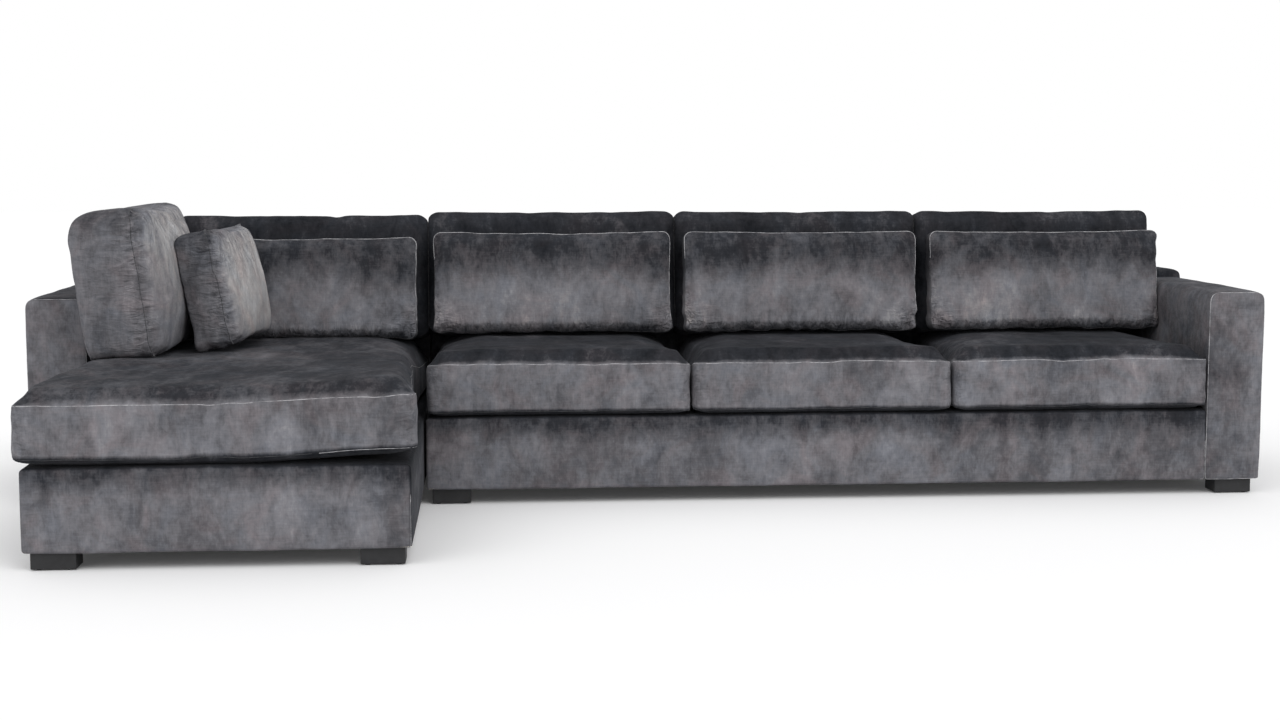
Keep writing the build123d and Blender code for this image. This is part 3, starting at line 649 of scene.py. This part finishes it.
def ease_seat(name, piece, low, high):
    """Rolls a seat's lower edges up off the deck and drops its rear corners.

    The chaise's drops beside the other seats only and rises a little in front of them. Ahead of the arm it
    swells past its base: on their side as far as they leave room, and more at the corner before them.
    """
    chaise = name == "chaise_seat"
    roll = CHAISE_ROLL if chaise else SEAT_ROLL
    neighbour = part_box("seat_1_cover")[0]
    room = neighbour.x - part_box("chaise_seat_cover")[1].x - CLEAR_OF_SEAT
    middle = (low.x + high.x) / 2
    half = high.x - middle
    for v in piece.data.vertices:
        right = v.co.x > middle
        from_low = v.co.y - low.y
        from_side = (high.x - low.x) / 2 - abs(v.co.x - middle)
        foot = near((v.co.z - low.z) / MAKES["seat"].edge, 0.6)
        v.co.z += roll * foot * near(min(from_low, from_side), ROLL_REACH)
        if right or not chaise:
            behind = min(1.0, max(0.0, (v.co.y - neighbour.y) / DROP_RUN))
            v.co.z -= DROP * behind * (1 - foot) * max(0.0, 1 - from_side / DROP_REACH) ** 2
        if chaise:
            v.co.z += CHAISE_RISE * smooth(0.0, half, v.co.x - middle) * smooth(0.8, 0.1, from_low)
            ahead = smooth(0.80, 0.68, from_low)
            flare = CHAISE_FLARE * smooth(0.11, 0.03, from_low)
            swell = max(room * ahead, flare) if right else CHAISE_SWELL * ahead
            v.co.x = middle + (v.co.x - middle) * (1 + swell / half)


REAR_ROUNDS = {"side_back": (0.095, 0.050), "side_lumbar": (0.045, 0.035)}


def round_rear(piece, low, high, top, foot):
    """Rounds the rear edges of an upright cushion, at its top and at its foot."""
    for v in piece.data.vertices:
        for radius, edge, way in ((top, high.y, 1), (foot, low.y, -1)):
            u = (low.z + radius - v.co.z) / radius
            w = (v.co.y - (edge - way * radius)) * way / radius
            if u > 0 and w > 0:
                v.co.z = low.z + radius - radius * u * math.sqrt(max(0.0, 1 - w * w / 2))
                v.co.y = edge - way * radius * (1 - w * math.sqrt(max(0.0, 1 - u * u / 2)))


PRESSED = 0.009


def meet_neighbours(name, piece, low, high):
    """Lets a back cushion swell sideways up to its neighbours, below its rounded top corners."""
    middle = (low.x + high.x) / 2
    half = high.x - middle
    here = BACKS.index(name)
    room = {-1: 0.0, 1: 0.0}
    for way in room:
        other = here + way
        if 0 <= other < len(BACKS):
            first, second = sorted((here, other))
            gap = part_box(BACKS[second] + "_cover")[0].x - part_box(BACKS[first] + "_cover")[1].x
            room[way] = gap / 2
    for v in piece.data.vertices:
        x = v.co.x - middle
        space = room[1 if x > 0 else -1]
        if space:
            share = smooth(0.0, 0.035, high.y - v.co.y) * smooth(0.0, 0.03, v.co.y - low.y)
            pressed = min(abs(x) / half * (half + (space + PRESSED) * share), half + space * share)
            v.co.x = middle + math.copysign(max(abs(x), pressed), x)


def wrinkles(place, seed):
    """Loose creases, from -1 to 1."""
    return noise.noise(Vector(place) + seed)


def folds(along, away, pitch, seed):
    """Short folds side by side along a seam, from -1 to 1, that run away from it."""
    return wrinkles((along / pitch, away / (6 * pitch), 0.0), seed)


Spot = namedtuple("Spot", "x y z from_top from_low from_side from_rim from_seam along")


def spot_of(v, kind, low, high):
    """Where a point lies on its cushion: from the middle, edges, front rim and nearest seam, and along it."""
    make = MAKES[kind]
    x, y, z = v.co - (low + high) / 2
    from_top, from_low = high.y - v.co.y, v.co.y - low.y
    from_side = (high - low).x / 2 - abs(x)
    inward = min(from_side, from_top, from_low)
    from_rim = abs(v.co.z - (high.z - make.front))
    from_seam = inward + from_rim
    if kind not in SIDES:
        from_seam = min(from_seam, inward + abs(v.co.z - (low.z + make.rear)))
    along = v.co.y if from_side < min(from_top, from_low) else v.co.x
    return Spot(x, y, z, from_top, from_low, from_side, from_rim, from_seam, along)


def crease_lumbar(name, v, at, seed):
    """Gathers over an uneven foot, bunched low corners and puckered sides; the last is creased by the arm."""
    gather = near(at.from_low, 0.08) * smooth(-0.03, 0.02, at.z)
    step = 0.0065 * gather * folds(v.co.x, at.from_low, 0.028, seed)
    v.co.y += 0.006 * near(at.from_low, 0.03) * wrinkles((v.co.x * 30.0, 0, 0), seed)
    corner = smooth(0.12, 0.02, at.from_side) * smooth(0.16, 0.03, at.from_low)
    step += 0.007 * corner * wrinkles(((abs(at.x) + at.y) * 40.0, (abs(at.x) - at.y) * 9.0, 0), seed)
    step += 0.0025 * near(at.from_side, 0.05) * folds(v.co.y, at.from_side, 0.018, seed)
    if name == LUMBARS[-1] and at.x > 0:
        squeezed = smooth(0.15, 0.03, at.from_side) * smooth(0.17, 0.05, at.from_top)
        step += 0.0028 * squeezed * math.sin(at.from_top * 105.0)
    return step


def crease_side(name, v, at, seed):
    """Puckers at the front seam, pleats down from the top and bunched low corners; the small one has ears."""
    step = 0.0085 * near(at.from_seam, 0.05) * folds(at.along, at.from_seam, 0.018, seed)
    pleat = folds(v.co.x, at.from_top, 0.034, seed) * near(at.from_top, 0.30)
    step += 0.0075 * pleat * smooth(-0.02, 0.05, at.z)
    if name == "side_lumbar":
        v.co.y += 0.012 * near(at.from_top, 0.04) * near(at.from_rim + at.from_side, 0.06)
    low_corner = near(at.from_low, 0.10) * near(at.from_side, 0.10)
    step += 0.014 * low_corner * wrinkles((v.co.z * 34.0, at.y * 9.0, at.x * 20.0), seed)
    return step - 0.004 * near(at.from_seam, 0.007)


def crease_back(name, v, at, seed):
    """A few soft gathers along the top; the first has a tuck there."""
    step = 0.0012 * near(at.from_top, 0.05) * folds(v.co.x, at.from_top, 0.05, seed)
    if name == BACKS[0]:
        step -= 0.006 * near(at.from_top, 0.035) * near(abs(at.x - 0.11), 0.03)
    return step


def crease_seat(name, v, at, seed):
    """Slight puckers along the seams, which draw in, and folds round the front corners."""
    step = 0.0025 * near(at.from_seam, 0.05) * folds(at.along, at.from_seam, 0.045, seed)
    corner = near(at.from_side, 0.07) * near(at.from_low, 0.09)
    step += 0.004 * corner * folds(v.co.z, at.from_side, 0.02, seed)
    return step - 0.002 * near(at.from_seam, 0.006)


CREASES = {"chaise_seat": crease_seat, "seat": crease_seat, "back": crease_back, "lumbar": crease_lumbar,
           "side_back": crease_side, "side_lumbar": crease_side}


def crease(name, piece, low, high):
    """Gathers, puckers and folds over slight unevenness, in the cushion's own frame."""
    kind = kind_of(name)
    seed = seed_of(name)
    uneven = 0.0007 if kind == "back" else 0.0018
    piece.data.update()
    normals = [v.normal.copy() for v in piece.data.vertices]
    for v, normal in zip(piece.data.vertices, normals):
        step = uneven * noise.noise(v.co * 9.0 + seed)
        step += CREASES[kind](name, v, spot_of(v, kind, low, high), seed)
        v.co += normal * step


def shade_cushion(name, piece, low, high, crown):
    """Paints light and shade on a cushion, and the strength of its gathers, in its own frame; crown is 1 for
    a point of its front panel.
    """
    kind = kind_of(name)
    make = MAKES[kind]
    size = high - low
    middle = (low + high) / 2
    piece.data.update()

    # The painted light and shade at a point.
    def light(v):
        x = (v.co.x - middle.x) / size.x
        y = (v.co.y - low.y) / size.y
        # Lumbars: painted shade on the upper part, at the foot and on faces turned to the rear; lighter below
        # and at the ends.
        if kind == "lumbar":
            level = 0.29 + 0.40 * smooth(0.82, 0.38, y + 0.25 * (abs(x) - 0.25)) - 0.38 * near(y, 0.10)
            return level + 0.06 * smooth(0.44, 0.5, abs(x)) - 0.3 * smooth(0.2, -0.3, v.normal.z)
        # Backs: painted shade all over, a little lighter near the top and darker on the sides between them.
        if kind == "back":
            return 0.17 + 0.05 * smooth(0.75, 0.95, y) - 0.1 * smooth(0.4, 0.8, abs(v.normal.x))
        # Side cushions: painted light on the swelling face, more up the tall one; painted shade near the top
        # of one end.
        if kind in SIDES:
            bulge = smooth(0.0, 1.0, (v.co.z - high.z + make.front) / make.front)
            crest = smooth(0.80, 1.0, y)
            lit = 0.4 + 0.6 * smooth(0.3, 0.9, y) if kind == "side_back" else 0.85
            return 0.56 + 0.58 * bulge * lit - 0.24 * crest * smooth(-0.2, -0.5, x)
        # Seats: painted shade on the tops, less on the chaise, on faces turned down and on the hidden sides
        # between seats.
        top = crown[v.index]
        under = smooth(-0.1, -0.5, v.normal.z)
        between = smooth(0.5, 0.9, abs(v.normal.x)) * smooth(0.06, 0.2, y) * (1 - top)
        return 0.61 - (0.31 if kind == "chaise_seat" else 0.43) * top - 0.5 * under - 0.35 * between

    def gather_across(v):
        """How strongly the cloth is gathered into folds that run across the cushion, for their relief and for
        painted shade along them.
        """
        at = spot_of(v, kind, low, high)
        face = smooth(0.2, 0.8, v.normal.z)
        if kind == "lumbar":
            low_corner = near(at.from_low, 0.14) * near(at.from_side, 0.16)
            return face * (0.6 * near(at.from_side, 0.03) + low_corner)
        if kind == "back":
            return 0.0
        if kind in SIDES:
            return 0.25 * (1 - face) + 0.65 * near(at.from_seam, 0.08)
        return 0.5 * smooth(-0.2, -0.8, v.normal.y) * near(at.from_side, 0.06)

    def gather_up(v):
        """How strongly it is gathered into folds that run up and down, for their relief and for painted shade
        along them.
        """
        face = smooth(0.2, 0.8, v.normal.z)
        if kind == "lumbar":
            return face * near(v.co.y - low.y, 0.075)
        if kind == "back":
            return 0.3 * near(high.y - v.co.y, 0.05) * face
        return face * near(high.y - v.co.y, 0.34) if kind in SIDES else 0.0

    paint(piece, light)
    paint(piece, gather_across, "gather_across")
    paint(piece, gather_up, "gather_up")


def seam_shade(name, low, high):
    """Where a cushion's seam gets a painted highlight, as a rule on points of the cushion in place."""
    kind = kind_of(name)
    make = MAKES[kind]
    back = make.turn.inverted()

    def rule(place):
        p = back @ place
        front = p.z > high.z - make.front - make.edge / 2
        if kind == "lumbar":
            near_top = p.y > high.y - 0.03
            right = p.x > high.x - 0.03 and p.y > low.y + 0.05
            left = p.x < low.x + 0.03 and p.y > high.y - 0.09
            return "light" if front and (near_top or right or left) else "dark"
        highlit_right_end = kind == "chaise_seat" and p.x > high.x - 0.24
        if name in SEATS and p.y < low.y + 0.05 and (front or highlit_right_end):
            return "light"
        return None if name in SIDES and not front else "dark"

    return rule


def give_way(piece, other, push, gap=0.0015, reach=0.12):
    """Presses a soft piece back, along push, from whatever of the other surface it would enter."""
    push = Vector(push)
    for v in piece.data.vertices:
        hit, _, _, far = other.ray_cast(v.co + push * reach, -push, reach + gap)
        if hit is not None:
            v.co += push * (reach + gap - far)


UP, FORWARD, RIGHT = (0, 0, 1), (0, -1, 0), (1, 0, 0)
LUMBAR_SEAM = 0.0015
CUSHION_SEAM = 0.0010
BOX_SEAM = 0.0011


def make_cushions():
    """Every cushion, filled, seated and seamed."""
    pieces = {name: cushion_form(name) for name in (*SEATS, *BACKS, *LUMBARS, *SIDES)}
    fill(pieces)
    for name, piece in pieces.items():
        shape_cushion(name, piece)
    decks = {name: surface(pieces[name]) for name in SEATS}
    for seat, back, lumbar in zip(SEATS, BACKS, LUMBARS):
        give_way(pieces[back], decks[seat], UP)
        give_way(pieces[lumbar], decks[seat], UP)
        give_way(pieces[lumbar], surface(pieces[back]), FORWARD, gap=0.004)
    for name in SIDES:
        give_way(pieces[name], decks["chaise_seat"], UP)
    give_way(pieces["side_lumbar"], surface(pieces["side_back"]), RIGHT)
    for name, piece in pieces.items():
        make = MAKES[kind_of(name)]
        subdivide(piece)
        material = VELVET_SIDE_LIT if name in SIDES else VELVET
        finish_piece(piece, name, name + "_cover", name + "_filling", material=material)
        shade = seam_shade(name, *local_box(name + "_cover", make.turn))
        welt(piece, name, shade, LUMBAR_SEAM if name in LUMBARS else CUSHION_SEAM)


# ---------------------------------------------------------------- boxes and feet

STANDING = leaning(0)
HEM = 0.003
HEM_WIDTH = 0.02
LOW_CORNER = 0.008
RING = 0.004
ABOVE_SOLID = 0.0004
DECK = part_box("sofa_base_cover")[1].z
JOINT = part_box("sofa_base_cover")[0].x


def upholstered_box(node, body, light, seam, corner, edge, step, puff, ends=1.0, lined_top=False):
    """The soft cover of a timber box, open below inside its hem.

    Its panels swell by a puff between their seams, those at its ends by their share of it.
    """
    low, high = local_box(node, STANDING)
    low.y -= HEM
    size = high - low
    bm = boxed_form(tuple(size), step, corner, LOW_CORNER, edge, RING)
    inside = {i: size[i] / 2 - HEM_WIDTH for i in (0, 2)}
    bm.normal_update()
    under = [f for f in bm.faces if f.normal.y < -0.9]
    under = [f for f in under if all(abs(f.calc_center_median()[i]) < reach for i, reach in inside.items())]
    bmesh.ops.delete(bm, geom=under, context="FACES")
    piece = to_object(bm, node.replace("_cover", "_soft_cover"))
    piece.data.update()
    normals = [v.normal.copy() for v in piece.data.vertices]
    seed = Vector((2.3 * len(node), 4.0, 9.0))
    for v, normal in zip(piece.data.vertices, normals):
        flat = sorted(max(0.0, 1 - abs(2 * v.co[i] / size[i]) ** 6) for i in range(3))
        ripple = 0.0016 * noise.noise(v.co * 7.0 + seed) + 0.0008 * noise.noise(v.co * 23.0 + seed)
        way = Vector((normal.x * ends, normal.y, normal.z))
        v.co += way * (puff * flat[1] ** 0.5 * flat[2] + max(ripple, -ABOVE_SOLID) + ABOVE_SOLID)
    piece.data.transform(Matrix.Translation((low + high) / 2))
    piece.data.transform(STANDING.to_4x4())
    piece.data.update()
    # painted light and shade of the cover, from its light rule
    paint(piece, light)
    subdivide(piece)
    finish_piece(piece, body, node)
    if lined_top:
        line_deck(piece, node)
    box_low, box_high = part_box(node)
    welt(piece, body, lambda p: seam(p, box_low, box_high), BOX_SEAM)


DECK_BORDER = 0.075
DECK_REAR_BORDER = 0.02


def line_deck(piece, node):
    """Plain lining in place of velvet where the seat cushions hide the deck."""
    low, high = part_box(node)
    piece.data.materials.append(LINING)
    for polygon in piece.data.polygons:
        c = polygon.center
        between = low.x + DECK_BORDER < c.x < high.x - DECK_BORDER
        behind = low.y + DECK_BORDER < c.y < high.y - DECK_REAR_BORDER
        if polygon.normal.z > 0.8 and between and behind:
            polygon.material_index = 1


# Painted shade on the seat boxes: a shadow band along their top under the cushions, darker tops and
# right-facing sides in shade.
def base_painted_light(v):
    shadow_under_cushion = smooth(DECK - 0.04, DECK - 0.010, v.co.z)
    corner = smooth(0.4, 0.8, v.normal.x)
    level = 0.60 if v.co.x < JOINT else 0.58
    return level - 0.28 * shadow_under_cushion - 0.2 * smooth(0.4, 0.9, v.normal.z) - 0.3 * corner


# Painted shade on the arms: darker tops, and the left arm's inner side in shade beside the side cushions.
def arm_painted_light(v):
    up = smooth(0.4, 0.9, v.normal.z)
    if v.co.x < JOINT:
        return 0.60 - 0.34 * up - 0.32 * smooth(0.4, 0.8, v.normal.x)
    return 0.53 - 0.12 * up


# Painted light and shade on the back frames: outer faces lighter, tops darker.
def back_painted_light(v):
    outside = max(smooth(0.4, 0.8, v.normal.y), smooth(0.4, 0.8, abs(v.normal.x)))
    return 0.30 + 0.26 * outside - 0.08 * smooth(0.4, 0.9, v.normal.z)


# A painted highlight along each seat box's front right edge.
def base_seam(place, low, high):
    return "light" if place.y < low.y + 0.03 and place.x > high.x - 0.02 and place.z < high.z - 0.02 else None


# A painted highlight along the front half of the arms' seams.
def arm_seam(place, low, high):
    return "light" if place.y < (low.y + high.y) / 2 else "dark"


def back_seam(place, low, high):
    return "dark"


def make_boxes():
    """The seat boxes, whose ends swell little because they meet, the arms and the backs."""
    base = {"light": base_painted_light, "seam": base_seam, "ends": 0.35, "lined_top": True}
    upholstered_box("chaise_base_cover", "chaise", corner=0.016, edge=0.010, step=0.020, puff=0.0035, **base)
    upholstered_box("sofa_base_cover", "sofa", corner=0.014, edge=0.009, step=0.024, puff=0.0030, **base)
    arm = {"light": arm_painted_light, "seam": arm_seam, "edge": 0.006, "step": 0.015}
    upholstered_box("left_arm_cover", "chaise", corner=0.030, puff=0.004, **arm)
    upholstered_box("right_arm_cover", "sofa", corner=0.030, puff=0.004, **arm)
    back = {"light": back_painted_light, "seam": back_seam, "edge": 0.010, "step": 0.021}
    upholstered_box("chaise_back_cover", "chaise", corner=0.030, puff=0.004, **back)
    upholstered_box("sofa_back_cover", "sofa", corner=0.030, puff=0.004, **back)


FOOT_WIDTH, FOOT_LENGTH = 0.115, 0.080
FOOT_LIFT = 0.003
EASED = {"offset": 0.0025, "segments": 3, "profile": 0.5, "affect": "EDGES", "material": -1}
GLIDE ={"radius1": 0.007, "radius2": 0.008, "depth": 0.0036, "segments": 20, "cap_ends": True}
GLIDE_X, GLIDE_Y = 0.04, 0.024


def make_feet(node, body):
    """Block feet with eased edges, each on four glides."""
    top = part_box(node)[1].z
    bm = bmesh.new()
    for x, y in foot_places(node):
        made = bmesh.ops.create_cube(bm, size=1.0)["verts"]
        bmesh.ops.scale(bm, vec=(FOOT_WIDTH, FOOT_LENGTH, top - FOOT_LIFT), verts=made)
        bmesh.ops.translate(bm, vec=(x, y, (top + FOOT_LIFT) / 2), verts=made)
        bmesh.ops.bevel(bm, geom=list(dict.fromkeys(e for v in made for e in v.link_edges)), **EASED)
        for dx in (-GLIDE_X, GLIDE_X):
            for dy in (-GLIDE_Y, GLIDE_Y):
                place = Matrix.Translation((x + dx, y + dy, GLIDE["depth"] / 2))
                bmesh.ops.create_cone(bm, matrix=place, **GLIDE)
    piece = to_object(bm, node + "_blocks")
    for polygon in piece.data.polygons:
        polygon.use_smooth = False
    finish_piece(piece, body, node, material=FOOT, slot="foot_black")


def foot_places(node):
    """The centres of a node's separate feet."""
    bm = bmesh.new()
    bm.from_mesh(NODES[node].data)
    bmesh.ops.remove_doubles(bm, verts=bm.verts, dist=1e-5)
    places = []
    left = set(bm.verts)
    while left:
        group, edge = set(), [left.pop()]
        while edge:
            v = edge.pop()
            group.add(v)
            for e in v.link_edges:
                other = e.other_vert(v)
                if other in left:
                    left.discard(other)
                    edge.append(other)
        xs = [v.co.x for v in group]
        ys = [v.co.y for v in group]
        places.append(((min(xs) + max(xs)) / 2, (min(ys) + max(ys)) / 2))
    bm.free()
    return sorted(places)


# ---------------------------------------------------------------- studio

WHITE = (1.0, 1.0, 1.0, 1.0)
FLOOR_GLOW = 0.03
SKY_SHINE = 0.75


def make_floor():
    """A wide white floor that lifts itself a little towards the white round it."""
    bm = bmesh.new()
    bmesh.ops.create_grid(bm, x_segments=2, y_segments=2, size=30.0)
    floor = to_object(bm, "studio_floor")
    f = Finish("studio_white")
    rays = ("Is Camera Ray", "Is Glossy Ray", "Is Transmission Ray")
    seen, glossy, through = (f.add("ShaderNodeLightPath", out=ray) for ray in rays)
    matt = f.add("ShaderNodeBsdfDiffuse", {}, {"Color": (0.93, 0.93, 0.935, 1.0)})
    strength = (seen + glossy + through).clamp() * FLOOR_GLOW
    glow = f.add("ShaderNodeEmission", {}, {"Color": WHITE, "Strength": strength})
    f.add_output(f.add("ShaderNodeAddShader", {}, {0: matt, 1: glow}))
    floor.data.materials.append(f.material)


def make_light():
    """Soft light from all round, which shows as plain white, and two broad lamps."""
    world = bpy.data.worlds.new("studio")
    SCENE.world = world
    world.use_nodes = True
    tree = world.node_tree
    tree.nodes.clear()
    path = tree.nodes.new("ShaderNodeLightPath")
    shine = tree.nodes.new("ShaderNodeBackground")
    shine.inputs["Strength"].default_value = SKY_SHINE
    white = tree.nodes.new("ShaderNodeBackground")
    white.inputs["Strength"].default_value = 1.0
    for background in (shine, white):
        background.inputs["Color"].default_value = WHITE
    mix = tree.nodes.new("ShaderNodeMixShader")
    end = tree.nodes.new("ShaderNodeOutputWorld")
    tree.links.new(path.outputs["Is Camera Ray"], mix.inputs[0])
    tree.links.new(shine.outputs[0], mix.inputs[1])
    tree.links.new(white.outputs[0], mix.inputs[2])
    tree.links.new(mix.outputs[0], end.inputs["Surface"])
    for name, turn, strength, spread in (
        ("key", (46, 0, 30), 0.95, 35),
        ("fill", (52, 0, -36), 0.6, 50),
    ):
        lamp = bpy.data.lights.new(name, "SUN")
        lamp.energy = strength
        lamp.angle = math.radians(spread)
        holder = bpy.data.objects.new(name, lamp)
        holder.rotation_euler = [math.radians(a) for a in turn]
        SCENE.collection.objects.link(holder)


CAMERA_PLACE = (-0.5078, -5.6455, 1.0459)
CAMERA_DOWN = 6.18
CAMERA_RIGHT = 4.52
FOCAL_LENGTH = 53.12


def make_camera():
    """The view of the sofa from the front, near its left half."""
    lens = bpy.data.cameras.new("view")
    lens.sensor_width = 36.0
    lens.lens = FOCAL_LENGTH
    camera = bpy.data.objects.new("view", lens)
    camera.location = CAMERA_PLACE
    camera.rotation_euler = (math.radians(90 - CAMERA_DOWN), 0.0, math.radians(-CAMERA_RIGHT))
    SCENE.collection.objects.link(camera)
    SCENE.camera = camera


make_cushions()
make_boxes()
make_feet("chaise_feet", "chaise")
make_feet("sofa_feet", "sofa")
make_floor()
make_light()
make_camera()
SCENE.view_settings.view_transform = "Standard"
